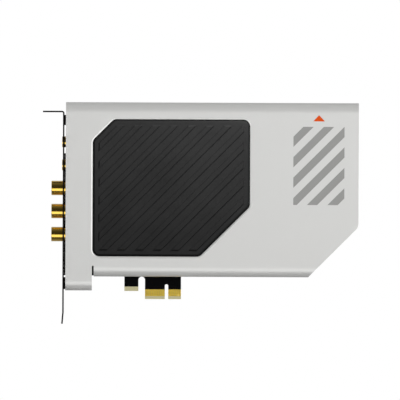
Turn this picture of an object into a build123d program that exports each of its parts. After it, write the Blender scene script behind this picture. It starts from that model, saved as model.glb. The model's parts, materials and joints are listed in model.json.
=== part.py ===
from build123d import *
import os
from math import sqrt

# Sound card for a PCI Express x1 slot. Millimetres.
# Origin: middle of the key notch, on the lower edge of the contact tongue, in the middle of the board.
# +X runs along the card away from the bracket, +Z up out of the slot, and -Y is the component side.

# Board and contact tongue
board_thickness = 1.57
board_inset = 0.6
board_bracket_gap = 0.1
board_setback = 1.1
port_edge_reach = 6.6
tongue_left = 12.15
tongue_right = 8.15
key_notch_width = 1.9
key_notch_height = 8.4
tongue_bevel_height = 1.7
bevel_depth = 0.5
tab_width = 7.9
tab_slot_width = 3.7
tab_slot_top = 12.6
tab_low = 4.5
tab_bevel_height = 2.5
contact_width = 0.7
contact_pitch = 1.0
contact_top = 5.4
contact_short_by = 1.0
contact_thickness = 0.05
contacts_left_of_key = 11
contacts_right_of_key = 7
first_contact_from_key = 1.5
short_contact_front = 16
short_contact_back = 0

# Slot bracket
bracket_thickness = 0.86
bracket_outer_x = -58.74
bracket_width = 18.42
bracket_height = 120.02
bracket_component_side = 14.48
flange_top = 105.9
flange_reach = 11.3
flange_overhang = 3.17
flange_corner = 2.0
screw_notch_radius = 2.21
screw_notch_from_plate = 6.35
screw_notch_from_edge = 4.4
bend_inner_radius = 0.5
foot_width = 10.2
foot_length = 12.0
foot_corner = 2.0
foot_bend_length = 6.5
foot_bend_angle = 5.0
ear_length = 9.0
ear_relief = 0.5
upper_ear_low = 97.8
upper_ear_height = 5.8
lower_ear_low = 5.4
lower_ear_height = 6.8

# Cover
cover_height = 14.0
cover_wall = 1.0
cover_gap = 0.82
cover_length = 165.06
cover_top = 110.79
cover_low = 12.61
leg_low = 4.72
leg_width = 14.95
slit_width = 1.0
slit_top = 18.7
cover_cut = 28.3
cover_cut_corner = 5.5
fold_radius = 5.5
flange_ear_gap = 0.3

# Window and rib panel
window_from_left = 15.11
window_from_low = 11.33
window_width = 88.76
window_height = 77.4
window_upper_cut = 11.95
window_lower_cut = 28.31
window_corner = 4.0
window_edge_width = 0.7
window_edge_depth = 0.35
tape_thickness = 0.2
tape_setback = 0.6
panel_lip = 2.4
panel_lip_thickness = 0.8
panel_window_gap = 0.3
panel_recess = 0.7
panel_edge_width = 1.0
panel_edge_depth = 0.4
panel_border = 3.4
rib_count = 12
rib_height = 0.5
rib_draft_angle = 50.0

# Fixings
screw_radius = 1.45
screw_head_radius = 2.7
screw_head_height = 1.7
screw_clearance = 0.15
thread_clearance = 0.05
fixing_sides = 8
standoff_radius = 2.6
standoff_from_edge = 7.5
standoff_bore_depth = 6.0
screw_grip = 4.0

# Ports on the bracket, from the upper jack down
first_port_z = 88.4
port_pitch = 13.0
minijack_count = 2
rca_count = 3
port_clearance = 0.2
seat_clearance = 0.05
minijack_width = 10.4
minijack_bore_radius = 1.8
minijack_bore_depth = 10.0
minijack_back_wall = 1.0
barrel_radius = 3.1
barrel_mouth_radius = 2.4
barrel_proud = 0.4
rca_barrel_radius = 4.1
rca_shoulder_width = 0.2
rca_shell_wall = 0.8
rca_reach = 6.36
rca_shell_seat = 6.0
rca_housing_wall = 1.1
rca_housing_depth = 11.4
insulator_recess = 0.5
rca_contact_radius = 1.6
rca_contact_wall = 0.5
rca_contact_sides = 12
rca_contact_length = 5.8
port_chamfer = 0.6

# Solder tails through the board
tail_width = 0.9
tail_thickness = 0.4
tail_clearance = 0.15
tail_proud = 1.2
tail_from_front = 1.9
tail_row_gap = 5.0
tail_spread = 6.4

# Front header
header_pitch = 2.54
header_rows = 5
header_base_height = 2.5
header_pin_width = 0.64
header_pin_length = 8.5
header_slack = 0.03
header_from_right = 10.0
header_z = 76.0

# Capacitors, chips and small parts
can_radius = 3.15
can_height = 7.0
can_sides = 12
base_width = 6.6
base_height = 1.0
base_cut = 1.2
processor_width = 14.0
processor_height = 1.4
converter_width = 7.0
converter_height = 1.0
op_amp_width = 4.0
op_amp_length = 5.0
op_amp_height = 1.5
regulator_width = 6.5
regulator_length = 3.5
regulator_height = 1.6
oscillator_width = 5.0
oscillator_length = 3.2
oscillator_height = 1.2
inductor_width = 6.0
inductor_height = 3.0
inductor_cut = 1.0
relay_width = 7.5
relay_length = 10.6
relay_height = 5.2
film_width = 2.5
film_length = 7.2
film_height = 6.5
chip_edge = 0.2
passive_length = 1.6
passive_width = 0.8
passive_height = 0.5
passive_pitch = 2.4
passive_row_count = 4

# Layout of the soldered parts: columns along the card, from the port housings, and rows above the tongue
analog_column_gap = 7.5
film_column_gap = 9.0
converter_column_gap = 12.0
capacitor_count = 4
capacitor_pitch = 9.5
clock_column_gap = 12.0
clock_row_gap = 4.0
processor_column_gap = 18.0
power_row = 26.0
power_pitch = 11.0
passive_gap = 3.5

# Edges closer than this to a place count as lying there
same_place = 0.001

# Places worked out from the driving dimensions
board_front = -board_thickness / 2
board_back = board_thickness / 2
bracket_inner_x = bracket_outer_x + bracket_thickness
bracket_front_y = board_front - bracket_component_side
bracket_back_y = bracket_front_y + bracket_width
bracket_low = flange_top - bracket_height
cover_front = board_front - cover_height
cover_inner = cover_front + cover_wall
cover_left = bracket_inner_x + cover_gap
cover_right = cover_left + cover_length
leg_right = cover_left + leg_width
window_left = cover_left + window_from_left
window_right = window_left + window_width
window_low = cover_low + window_from_low
window_high = window_low + window_height
lip_front = cover_inner + tape_thickness
lip_back = lip_front + panel_lip_thickness
panel_face = cover_front + panel_recess
port_y = (board_front + cover_inner) / 2
port_body_x = cover_left + port_clearance
minijack_z = [first_port_z - i * port_pitch for i in range(minijack_count)]
rca_z = [first_port_z - (minijack_count + i) * port_pitch for i in range(rca_count)]
board_low = cover_low + board_inset
board_left = bracket_inner_x + board_bracket_gap
tab_left = -tongue_left - tab_slot_width - tab_width
analog_x = port_body_x + rca_housing_depth + analog_column_gap
film_x = analog_x + film_column_gap
converter_x = film_x + converter_column_gap
clock_x = converter_x + clock_column_gap
processor_x = clock_x + processor_column_gap
ears = [(upper_ear_low, upper_ear_height), (lower_ear_low, lower_ear_height)]
ear_screw_x = bracket_inner_x + ear_length - screw_head_radius - screw_clearance
ear_screws = [(ear_screw_x, low + height / 2) for low, height in ears]
standoffs = [
    (window_right + standoff_from_edge, cover_top - fold_radius - standoff_radius - cover_wall),
    (cover_right - standoff_from_edge, cover_low + cover_cut + standoff_from_edge),
    (window_right + standoff_from_edge, cover_low + fold_radius + standoff_radius + cover_wall),
    (cover_left + standoff_from_edge, slit_top + standoff_radius),
]


def slab(sketch, y_front, y_back):
    """A flat piece with an outline drawn in X and Z, between two depths."""
    return extrude(Plane.XZ.offset(-y_back) * sketch, amount=y_back - y_front)


def bar(sketch, x_start, x_end):
    """A long piece with a section drawn in Y and Z, between two places along the card."""
    return extrude(Plane.YZ.offset(x_start) * sketch, amount=x_end - x_start)


def post(sketch, z_low, z_high):
    """A piece with a section drawn in X and Y, between two heights."""
    return extrude(Plane.XY.offset(z_low) * sketch, amount=z_high - z_low)


def rectangle(left, right, low, high):
    """A rectangle given by its four sides."""
    return Polygon((left, low), (right, low), (right, high), (left, high), align=None)


def round_corner(sketch, corner, radius):
    """Round the corner of a sketch that lies nearest to a given point."""
    nearest = min(sketch.vertices(), key=lambda v: (v.X - corner[0]) ** 2 + (v.Y - corner[1]) ** 2)
    return fillet([nearest], radius)


def cut_corner(sketch, corner, length):
    """Cut the corner of a sketch that lies nearest to a given point."""
    nearest = min(sketch.vertices(), key=lambda v: (v.X - corner[0]) ** 2 + (v.Y - corner[1]) ** 2)
    return chamfer([nearest], length)


def turned(profile, z):
    """A turned piece on a port's axis, from its half section as (x, radius) points."""
    plane = Plane(origin=(0, port_y, z), x_dir=(1, 0, 0), z_dir=(0, -1, 0))
    return revolve(plane * Polygon(*profile, align=None), Axis((0, port_y, z), (1, 0, 0)))


def edges_at(shape, axis, place):
    """The edges whose middle lies at one place along an axis."""
    return shape.edges().filter_by_position(axis, place - same_place, place + same_place)


def port_hole(radius, x_start, x_end, z):
    """A round plug on a port's axis, to cut a hole with or to bore."""
    return turned([(x_start, 0), (x_end, 0), (x_end, radius), (x_start, radius)], z)


def shank(x, z, radius):
    """The section of a fixing or of its hole, drawn with flat sides."""
    return Pos(x, z) * RegularPolygon(radius, fixing_sides)


def slots(places, width, height):
    """Equal rectangular holes at a list of places."""
    return Sketch() + [Pos(x, z) * Rectangle(width, height) for x, z in places]


def save(name, shape):
    """Write one node. Several separate solids go out together."""
    export_step(shape, os.path.join("parts", name + ".step"))


def group(shapes):
    """Separate solids that share one node."""
    return Compound(children=[solid for shape in shapes for solid in shape.solids()])


# Cover


def window_outline(grow, rounded):
    """The window's outline with its two cut corners, moved outwards by grow."""
    left = window_left - grow
    right = window_right + grow
    low = window_low - grow
    high = window_high + grow
    upper = window_upper_cut + grow * (2 - sqrt(2))
    lower = window_lower_cut + grow * (2 - sqrt(2))
    points = [
        (left, low),
        (right - lower, low),
        (right, low + lower),
        (right, high),
        (left + upper, high),
        (left, high - upper),
    ]
    outline = Polygon(*points, align=None)
    if rounded:
        outline = fillet(outline.vertices(), window_corner + grow)
    return outline


def channel_section(low, inset, back):
    """The cover's section: a front wall with a rounded fold above and below, open at the back."""
    front = cover_front + inset
    outline = rectangle(front, back, low + inset, cover_top - inset)
    outline = round_corner(outline, (front, cover_top - inset), fold_radius - inset)
    return round_corner(outline, (front, low + inset), fold_radius - inset)


def channel(low, x_start, x_end):
    """A length of the folded sheet."""
    back = board_front - bracket_thickness - flange_ear_gap
    section = channel_section(low, 0, back) - channel_section(low, cover_wall, back + cover_wall)
    return bar(section, x_start, x_end)


def cover_silhouette():
    """The cover seen from the front, with its cut corner, its leg and the slit beside the leg."""
    points = [
        (cover_left, cover_low),
        (cover_right - cover_cut, cover_low),
        (cover_right, cover_low + cover_cut),
        (cover_right, cover_top),
        (cover_left, cover_top),
    ]
    outline = Polygon(*points, align=None)
    outline = round_corner(outline, (cover_right, cover_low + cover_cut), cover_cut_corner)
    outline += rectangle(cover_left, leg_right, leg_low, cover_top)
    round_z = slit_top - slit_width / 2
    outline -= rectangle(leg_right, leg_right + slit_width, leg_low, round_z)
    return outline - Pos(leg_right + slit_width / 2, round_z) * Circle(slit_width / 2)


def make_cover():
    """The folded cover, with a shallow bevel round the window's outer edge."""
    sheet = channel(leg_low, cover_left, leg_right) + channel(cover_low, leg_right, cover_right)
    sheet &= slab(cover_silhouette(), cover_front, board_front)
    sheet -= slab(window_outline(0, True), cover_front, cover_inner)
    window_edge = [
        e
        for e in edges_at(sheet, Axis.Y, cover_front)
        if window_left - cover_wall < e.center().X < window_right + cover_wall
        and window_low - cover_wall < e.center().Z < window_high + cover_wall
        and e.bounding_box().max.Z < window_high + cover_wall
        and e.bounding_box().min.Z > window_low - cover_wall
    ]
    front = sheet.faces().sort_by(Axis.Y)[0]
    return chamfer(window_edge, window_edge_width, window_edge_depth, reference=front)


# Rib panel


def make_panel():
    """The insert: a lip behind the sheet, a raised face with a sloping rim, and slanted ribs on it."""
    lip = slab(window_outline(panel_lip, False), lip_front, lip_back)
    face = slab(window_outline(-panel_window_gap, True), panel_face, lip_front)
    front = face.faces().sort_by(Axis.Y)[0]
    rim = edges_at(face, Axis.Y, panel_face)
    face = chamfer(rim, panel_edge_width, panel_edge_depth, reference=front)
    field = window_outline(-panel_border, False)
    first = window_left - window_high + window_upper_cut + panel_border * sqrt(2)
    last = window_right - window_low - window_lower_cut - panel_border * sqrt(2)
    strip = (last - first) / (2 * rib_count - 1)
    span = window_width + window_height
    ribs = []
    for i in range(rib_count):
        start = first + 2 * i * strip
        corners = [
            (start - span, -span),
            (start + strip - span, -span),
            (start + strip + span, span),
            (start + span, span),
        ]
        rib = field & Polygon(*corners, align=None)
        flat = Plane.XZ.offset(-panel_face) * rib
        ribs.append(extrude(flat, amount=rib_height, taper=rib_draft_angle))
    return lip + face + ribs


def make_tape():
    """Strips of double-sided tape between the lip and the sheet, one along each side of the window."""
    width = panel_lip - tape_setback
    middle = (panel_lip + tape_setback) / 2
    strips = []
    for side in window_outline(middle, False).edges():
        centre = side.position_at(0.5)
        strip = Rectangle(side.length - 2 * (window_corner + middle), width)
        turned_strip = Rot(0, 0, side.tangent_angle_at(0.5)) * strip
        strips.append(slab(Pos(centre.X, centre.Y) * turned_strip, cover_inner, lip_front))
    return group(strips)


# Bracket


def bracket_plate():
    """The upright plate, which narrows to the foot that enters the case."""
    middle = (bracket_front_y + bracket_back_y) / 2
    slope = (bracket_width - foot_width) / 2
    straight_low = bracket_low + foot_bend_length
    shoulder = bracket_low + foot_length
    points = [
        (middle - foot_width / 2, straight_low),
        (middle + foot_width / 2, straight_low),
        (middle + foot_width / 2, shoulder),
        (bracket_back_y, shoulder + slope),
        (bracket_back_y, flange_top - bend_inner_radius - bracket_thickness),
        (bracket_front_y, flange_top - bend_inner_radius - bracket_thickness),
        (bracket_front_y, shoulder + slope),
        (middle - foot_width / 2, shoulder),
    ]
    outline = Polygon(*points, align=None)
    bend_y = board_front - bracket_thickness - bend_inner_radius
    for low, height in ears:
        outline -= rectangle(bend_y, bracket_back_y, low - ear_relief, low + height + ear_relief)
    return bar(outline, bracket_outer_x, bracket_inner_x)


def bracket_foot():
    """The last stretch of the foot, bent a little outwards."""
    middle = (bracket_front_y + bracket_back_y) / 2
    foot = rectangle(middle - foot_width / 2, middle + foot_width / 2, -foot_bend_length, bend_inner_radius)
    for side in (-1, 1):
        foot = cut_corner(foot, (middle + side * foot_width / 2, -foot_bend_length), foot_corner)
    flat = bar(foot, 0, bracket_thickness)
    place = Pos(bracket_outer_x, 0, bracket_low + foot_bend_length)
    return place * (Rot(0, foot_bend_angle, 0) * flat)


def bracket_flange():
    """The flange that is screwed to the case, with its open screw notch and the bend to the plate."""
    tip = bracket_outer_x - flange_reach
    back = bracket_back_y + flange_overhang
    bend = bend_inner_radius + bracket_thickness
    bend_x = bracket_inner_x - bend
    outline = rectangle(tip, bend_x, bracket_front_y, back)
    for corner in ((tip, bracket_front_y), (tip, back), (bend_x, back)):
        outline = cut_corner(outline, corner, flange_corner)
    notch_x = bracket_outer_x - screw_notch_from_plate
    notch_y = back - screw_notch_from_edge
    outline -= Pos(notch_x, notch_y) * Circle(screw_notch_radius)
    outline -= rectangle(notch_x - screw_notch_radius, notch_x + screw_notch_radius, notch_y, back)
    flat = post(outline, flange_top - bracket_thickness, flange_top)
    centre = Pos(bend_x, flange_top - bend)
    ring = centre * Circle(bend) - centre * Circle(bend_inner_radius)
    quarter = ring & rectangle(bend_x, bend_x + bend, flange_top - bend, flange_top)
    return flat + slab(quarter, bracket_front_y, bracket_back_y)


def bracket_ear(low, height):
    """An ear that is folded inwards on to the board's front face."""
    bend = bend_inner_radius + bracket_thickness
    root = board_front - bend
    end = bracket_inner_x + ear_length
    section = rectangle(bracket_outer_x, end, root, board_front)
    section -= rectangle(bracket_inner_x, end, root, board_front - bracket_thickness)
    section = round_corner(section, (bracket_outer_x, board_front), bend)
    section = round_corner(section, (bracket_inner_x, board_front - bracket_thickness), bend_inner_radius)
    ear = post(section, low, low + height)
    tip = edges_at(ear, Axis.X, end).filter_by(Axis.Y)
    return chamfer(tip, bend)


def make_bracket():
    """The stamped bracket with its port holes and the threaded holes of its ears."""
    bracket = bracket_plate() + bracket_foot() + bracket_flange()
    bracket += [bracket_ear(low, height) for low, height in ears]
    for z in minijack_z:
        bracket -= port_hole(barrel_radius + port_clearance, bracket_outer_x, bracket_inner_x, z)
    for z in rca_z:
        radius = rca_barrel_radius + rca_shoulder_width + port_clearance
        bracket -= port_hole(radius, bracket_outer_x, bracket_inner_x, z)
    for x, z in ear_screws:
        thread = shank(x, z, screw_radius + thread_clearance)
        bracket -= slab(thread, board_front - bracket_thickness, board_front)
    return bracket


# Board


def board_outline():
    """The board's outline: body, leg, locking tab, contact tongue and key notch."""
    left = board_left + board_setback
    right = cover_right - board_inset
    cut = cover_cut - board_inset * (2 - sqrt(2))
    top = cover_top - board_inset
    points = [
        (left, board_low),
        (right - cut, board_low),
        (right, board_low + cut),
        (right, top),
        (left, top),
    ]
    outline = Polygon(*points, align=None)
    outline = round_corner(outline, (right, board_low + cut), cover_cut_corner - board_inset)
    outline += rectangle(left, leg_right - board_inset, leg_low + board_inset, board_low)
    outline += rectangle(board_left, left, board_low, minijack_z[-1] + port_edge_reach)
    outline += rectangle(tab_left, -tongue_left, tab_low, board_low)
    outline += rectangle(-tongue_left, tongue_right, 0, board_low)
    slot_round = tab_slot_top - tab_slot_width / 2
    outline -= rectangle(-tongue_left - tab_slot_width, -tongue_left, 0, slot_round)
    outline -= Pos(-tongue_left - tab_slot_width / 2, slot_round) * Circle(tab_slot_width / 2)
    notch_round = key_notch_height - key_notch_width / 2
    outline -= rectangle(-key_notch_width / 2, key_notch_width / 2, 0, notch_round)
    return outline - Pos(0, notch_round) * Circle(key_notch_width / 2)


def edge_bevel(low, height):
    """The two wedges that bevel a lower edge of the board."""
    wedges = Sketch()
    for face, depth in ((board_front, bevel_depth), (board_back, -bevel_depth)):
        wedges += Polygon((face, low), (face + depth, low), (face, low + height), align=None)
    return wedges


def make_board():
    """The drilled board with its bevelled edges."""
    outline = board_outline()
    for x, z in ear_screws + standoffs:
        outline -= shank(x, z, screw_radius + screw_clearance)
    slack = 2 * tail_clearance
    outline -= slots(minijack_tails() + rca_tails(), tail_thickness + slack, tail_width + slack)
    outline -= slots(header_places(), header_pin_width + slack, header_pin_width + slack)
    board = slab(outline, board_front, board_back)
    board -= bar(edge_bevel(0, tongue_bevel_height), -tongue_left, tongue_right)
    return board - bar(edge_bevel(tab_low, tab_bevel_height), tab_left, tab_left + tab_width)


def make_contacts(y_front, y_back, short_one):
    """One side's row of contacts. The one that senses the card's presence is shorter."""
    left = [-first_contact_from_key - i * contact_pitch for i in reversed(range(contacts_left_of_key))]
    right = [first_contact_from_key + i * contact_pitch for i in range(contacts_right_of_key)]
    contacts = []
    for i, x in enumerate(left + right):
        low = tongue_bevel_height + (contact_short_by if i == short_one else 0)
        outline = rectangle(x - contact_width / 2, x + contact_width / 2, low, contact_top)
        contacts.append(slab(outline, y_front, y_back))
    return group(contacts)


# Fixings


def screw(x, z, tip):
    """A screw from the back of the board, with its head outside."""
    body = slab(shank(x, z, screw_radius), tip, board_back)
    return body + slab(shank(x, z, screw_head_radius), board_back, board_back + screw_head_height)


def standoff(x, z):
    """A hexagonal standoff between the sheet and the board, bored for its screw."""
    hexagon = Pos(x, z) * RegularPolygon(standoff_radius, 6)
    body = slab(hexagon, cover_inner, board_front)
    bore = shank(x, z, screw_radius + thread_clearance)
    return body - slab(bore, board_front - standoff_bore_depth, board_front)


# Ports


def tail(x, z):
    """A solder tail that starts under a housing and passes through the board."""
    outline = Pos(x, z) * Rectangle(tail_thickness, tail_width)
    return slab(outline, board_front, board_back + tail_proud)


def minijack_tails():
    """Places of the three solder tails under each small jack."""
    front = port_body_x + tail_from_front
    back = front + tail_row_gap
    half = tail_spread / 2
    return [place for z in minijack_z for place in ((front, z - half), (front, z + half), (back, z))]


def rca_tails():
    """Places of the signal tail and the earth tail under each RCA socket."""
    front = port_body_x + tail_from_front
    return [place for z in rca_z for place in ((front, z), (front + tail_row_gap, z))]


def port_housing(z, half, length):
    """A moulded block under a port's axis, with its two upper edges cut."""
    top = port_y - half
    body = slab(rectangle(port_body_x, port_body_x + length, z - half, z + half), top, board_front)
    return chamfer(edges_at(body, Axis.Y, top).filter_by(Axis.X), port_chamfer)


def minijack_body(z):
    """The housing of a small jack, with the bore that takes the plug."""
    end = port_body_x + minijack_bore_depth
    body = port_housing(z, minijack_width / 2, minijack_bore_depth + minijack_back_wall)
    return body - port_hole(minijack_bore_radius, port_body_x, end, z)


def minijack_barrel(z):
    """The gold barrel that shows through the bracket, in front of its housing."""
    front = bracket_outer_x - barrel_proud
    back = port_body_x
    barrel = port_hole(barrel_radius, front, back, z)
    return barrel - port_hole(barrel_mouth_radius, front, back, z)


def rca_housing(z):
    """The housing of an RCA socket, with the seat of its shell."""
    radius = rca_barrel_radius + rca_shoulder_width
    body = port_housing(z, radius + rca_housing_wall, rca_housing_depth)
    return body - port_hole(radius + seat_clearance, port_body_x, port_body_x + rca_shell_seat, z)


def rca_shell(z):
    """The turned gold shell: a barrel outside the bracket and a shoulder that seats in the housing."""
    front = bracket_outer_x - rca_reach
    back = port_body_x + rca_shell_seat
    inner = rca_barrel_radius - rca_shell_wall
    profile = [
        (front, inner),
        (front, rca_barrel_radius),
        (bracket_outer_x, rca_barrel_radius),
        (bracket_outer_x, rca_barrel_radius + rca_shoulder_width),
        (back, rca_barrel_radius + rca_shoulder_width),
        (back, inner),
    ]
    return turned(profile, z)


def contact_section(z, radius):
    """The flat-sided section that keeps a centre contact from turning in its insulator."""
    return Pos(port_y, z) * RegularPolygon(radius, rca_contact_sides)


def rca_insulator(z):
    """The moulded insulator inside a shell, which holds the centre contact."""
    front = bracket_outer_x - rca_reach + insulator_recess
    back = port_body_x + rca_shell_seat
    body = port_hole(rca_barrel_radius - rca_shell_wall - seat_clearance, front, back, z)
    hole = contact_section(z, rca_contact_radius + rca_contact_wall + seat_clearance)
    return body - bar(hole, front, back)


def rca_contact(z):
    """The centre contact that grips the plug's pin."""
    back = port_body_x + rca_shell_seat
    front = back - rca_contact_length
    body = bar(contact_section(z, rca_contact_radius + rca_contact_wall), front, back)
    return body - port_hole(rca_contact_radius, front, back, z)


# Front header


def header_places():
    """Pin places of the two-row header. One place is left empty as a key."""
    x = cover_right - header_from_right
    rows = [header_z + (i - (header_rows - 1) / 2) * header_pitch for i in range(header_rows)]
    places = [(x + side * header_pitch / 2, z) for z in rows for side in (-1, 1)]
    return places[:3] + places[4:]


def header_base():
    """The header's moulded base."""
    x = cover_right - header_from_right
    half = header_rows * header_pitch / 2
    outline = rectangle(x - header_pitch, x + header_pitch, header_z - half, header_z + half)
    hole = header_pin_width + 2 * header_slack
    outline -= slots(header_places(), hole, hole)
    return slab(outline, board_front - header_base_height, board_front)


def header_pins():
    """The header's square pins, which pass through the base and the board."""
    front = board_front - header_pin_length
    back = board_back + tail_proud
    square = Rectangle(header_pin_width, header_pin_width)
    return group([slab(Pos(x, z) * square, front, back) for x, z in header_places()])


# Parts soldered on the board's front face


def package(x, z, width, height, tall):
    """A small part with a plain case."""
    return slab(Pos(x, z) * Rectangle(width, height), board_front - tall, board_front)


def chip(x, z, width, height, tall):
    """A larger moulded case with a bevelled upper edge."""
    body = package(x, z, width, height, tall)
    return chamfer(edges_at(body, Axis.Y, board_front - tall), chip_edge)


def inductor(x, z):
    """A shielded power inductor with cut corners."""
    square = Rectangle(inductor_width, inductor_width)
    outline = chamfer(square.vertices(), inductor_cut)
    return slab(Pos(x, z) * outline, board_front - inductor_height, board_front)


def capacitor_base(x, z):
    """The moulded foot of an electrolytic capacitor, with two cut corners."""
    square = Rectangle(base_width, base_width)
    outline = chamfer(square.vertices().sort_by(Axis.X)[-2:], base_cut)
    return slab(Pos(x, z) * outline, board_front - base_height, board_front)


def capacitor_can(x, z):
    """The can of an electrolytic capacitor, on its base."""
    outline = Pos(x, z) * RegularPolygon(can_radius, can_sides)
    low = board_front - base_height
    return slab(outline, low - can_height, low)


def passive_rows(starts, count):
    """Rows of small chip parts, each row running up from its start."""
    places = [(x, z + i * passive_pitch) for x, z in starts for i in range(count)]
    return group([package(x, z, passive_length, passive_width, passive_height) for x, z in places])


def digital_parts():
    """The converter, the processor, their clocks and their power supply."""
    middle_z = rca_z[len(rca_z) // 2]
    nodes = {
        "converter_chip": chip(converter_x, middle_z, converter_width, converter_width, converter_height),
        "audio_processor": chip(processor_x, middle_z, processor_width, processor_width, processor_height),
    }
    for name, side in (("upper", 1), ("lower", -1)):
        z = middle_z + side * clock_row_gap
        clock = package(clock_x, z, oscillator_width, oscillator_length, oscillator_height)
        nodes["oscillator_" + name] = clock
    for i in range(capacitor_count):
        place = (film_x + i * capacitor_pitch, minijack_z[0])
        nodes[f"capacitor_base_{i + 1}"] = capacitor_base(*place)
        nodes[f"capacitor_can_{i + 1}"] = capacitor_can(*place)
    for i, name in enumerate(("left", "right")):
        x = converter_x + i * power_pitch
        nodes["inductor_" + name] = inductor(x, power_row)
        x = processor_x + i * power_pitch
        regulator = package(x, power_row, regulator_width, regulator_length, regulator_height)
        nodes["regulator_" + name] = regulator
    row_low = middle_z - (passive_row_count - 1) * passive_pitch / 2
    beside_converter = converter_width / 2 + passive_gap
    beside_processor = processor_width / 2 + passive_gap
    for name, side in (("chip_resistors", -1), ("chip_capacitors", 1)):
        columns = [converter_x + side * beside_converter, processor_x - side * beside_processor]
        nodes[name] = passive_rows([(x, row_low) for x in columns], passive_row_count)
    return nodes


def make_parts():
    """Every node of the card, by name."""
    nodes = {
        "cover_shroud": make_cover(),
        "rib_panel": make_panel(),
        "panel_tape": make_tape(),
        "slot_bracket": make_bracket(),
        "circuit_board": make_board(),
        "contacts_front": make_contacts(board_front - contact_thickness, board_front, short_contact_front),
        "contacts_back": make_contacts(board_back, board_back + contact_thickness, short_contact_back),
        "bracket_screws": group([screw(x, z, board_front - bracket_thickness) for x, z in ear_screws]),
        "cover_screws": group([screw(x, z, board_front - screw_grip) for x, z in standoffs]),
        "cover_standoffs": group([standoff(x, z) for x, z in standoffs]),
        "minijack_tails": group([tail(x, z) for x, z in minijack_tails()]),
        "rca_tails": group([tail(x, z) for x, z in rca_tails()]),
        "header_base": header_base(),
        "header_pins": header_pins(),
    }
    for name, z in zip(("upper", "lower"), minijack_z):
        nodes["minijack_body_" + name] = minijack_body(z)
        nodes["minijack_barrel_" + name] = minijack_barrel(z)
        nodes["mute_relay_" + name] = chip(analog_x, z, relay_width, relay_length, relay_height)
    for name, z in zip(("upper", "middle", "lower"), rca_z):
        nodes["rca_housing_" + name] = rca_housing(z)
        nodes["rca_shell_" + name] = rca_shell(z)
        nodes["rca_insulator_" + name] = rca_insulator(z)
        nodes["rca_contact_" + name] = rca_contact(z)
        nodes["op_amp_" + name] = package(analog_x, z, op_amp_width, op_amp_length, op_amp_height)
        nodes["film_capacitor_" + name] = chip(film_x, z, film_length, film_width, film_height)
    nodes.update(digital_parts())
    return nodes


os.makedirs("parts", exist_ok=True)
for node_name, node_shape in make_parts().items():
    save(node_name, node_shape)
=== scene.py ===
# %% [markdown]
# A sound card for a computer's expansion slot
#
# The real card is a black circuit board that stands behind a folded, painted cover. A black ribbed panel
# fills a window in the cover, a slot bracket closes the left end, and gold sockets look out through it.
# The frame already holds every solid at its real size. These cells give the solids their surfaces, turn
# the small round pieces finely, print the cover, and light the card the way a product photograph does.

# %% Load the fixed frame
import json
import math

import bmesh
import bpy
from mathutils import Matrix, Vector


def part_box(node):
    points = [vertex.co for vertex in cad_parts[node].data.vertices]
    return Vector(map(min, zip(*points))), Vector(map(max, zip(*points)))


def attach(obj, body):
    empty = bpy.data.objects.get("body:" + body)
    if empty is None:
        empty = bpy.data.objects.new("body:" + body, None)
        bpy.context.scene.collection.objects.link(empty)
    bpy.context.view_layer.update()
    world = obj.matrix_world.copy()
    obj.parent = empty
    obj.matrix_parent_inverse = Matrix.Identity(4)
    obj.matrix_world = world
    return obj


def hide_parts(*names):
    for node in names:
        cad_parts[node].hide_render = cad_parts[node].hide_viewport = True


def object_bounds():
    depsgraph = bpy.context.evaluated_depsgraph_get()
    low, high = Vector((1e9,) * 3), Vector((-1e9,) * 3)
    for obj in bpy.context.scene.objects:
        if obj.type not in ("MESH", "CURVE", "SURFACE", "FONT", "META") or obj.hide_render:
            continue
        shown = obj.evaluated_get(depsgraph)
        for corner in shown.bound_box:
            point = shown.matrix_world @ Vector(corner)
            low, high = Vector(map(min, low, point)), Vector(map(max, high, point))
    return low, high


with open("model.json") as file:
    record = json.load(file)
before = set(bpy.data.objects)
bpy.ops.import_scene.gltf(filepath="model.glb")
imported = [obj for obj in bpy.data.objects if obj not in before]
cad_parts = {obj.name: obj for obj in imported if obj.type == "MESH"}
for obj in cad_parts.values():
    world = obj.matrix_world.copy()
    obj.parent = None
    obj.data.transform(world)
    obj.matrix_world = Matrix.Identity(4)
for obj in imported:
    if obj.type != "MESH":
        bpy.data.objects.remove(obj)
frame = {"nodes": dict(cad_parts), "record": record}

MM = 0.001
nodes = frame["nodes"]
mounts = {mount["name"]: mount for mount in frame["record"]["mounts"]}
cad_low, cad_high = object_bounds()
print("solids in the frame:", len(nodes), "nodes")
print("card spans (mm):", [round(side / MM, 2) for side in cad_high - cad_low])

# %% [markdown]
# Places to measure from
#
# Nothing is placed by eye in empty space. The cover's front sheet, the two faces of the board and the
# axes of the sockets come from the frame, so that a change of the solids moves what is built on them.

# %% Read the main faces
cover_low, cover_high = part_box("cover_shroud")
panel_low, panel_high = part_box("rib_panel")
board_low, board_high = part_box("circuit_board")
contacts_low, contacts_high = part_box("contacts_front")
cover_face = cover_low.y
board_front = board_low.y
board_back = board_high.y


def middle_of(name):
    """The middle of a node's box."""
    low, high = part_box(name)
    return (low + high) / 2


print("cover face, board front, board back (mm):",
      [round(y / MM, 3) for y in (cover_face, board_front, board_back)])

# %% [markdown]
# Camera
#
# The photograph looks straight at the cover from far away: parallel edges stay parallel and no side wall
# shows. A long lens would nearly do that. An orthographic camera does it exactly, and its scale is then
# one real size, the width that the picture spans at the card.

# %% Set the camera
picture_span = 225.4 * MM
card_left_of_middle = 0.32 * MM
card_below_middle = 7.63 * MM
camera_distance = 0.8
camera_roll = math.radians(-0.24)

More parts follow.
